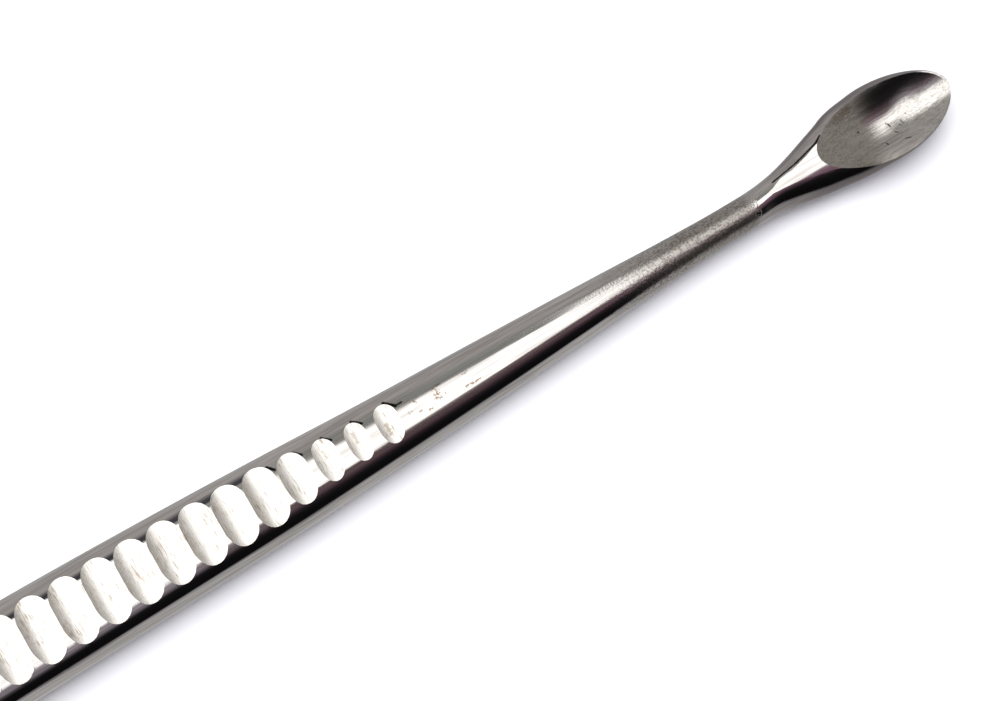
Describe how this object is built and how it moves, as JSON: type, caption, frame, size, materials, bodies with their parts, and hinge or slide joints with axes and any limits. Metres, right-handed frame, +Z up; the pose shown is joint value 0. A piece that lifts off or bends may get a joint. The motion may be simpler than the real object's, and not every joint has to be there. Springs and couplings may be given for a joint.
{
  "type": "bone curette",
  "caption": "One-piece steel bone curette: a sharp-edged oval spoon on a slim round neck that widens into a flattened handle with a scalloped thumb grip.",
  "frame": {"origin": "on the supporting surface, under the middle of the overall length and width", "axes": "+X along the instrument from the butt to the tip of the spoon, +Z up, the way the spoon opens, +Y across the handle"},
  "size_m": [0.17, 0.009, 0.0049],
  "materials": {
    "steel": "polished stainless steel, with ground scallops and a brushed hollow"
  },
  "bodies": {
    "root": {"curette": "steel"}
  },
  "joints": []
}
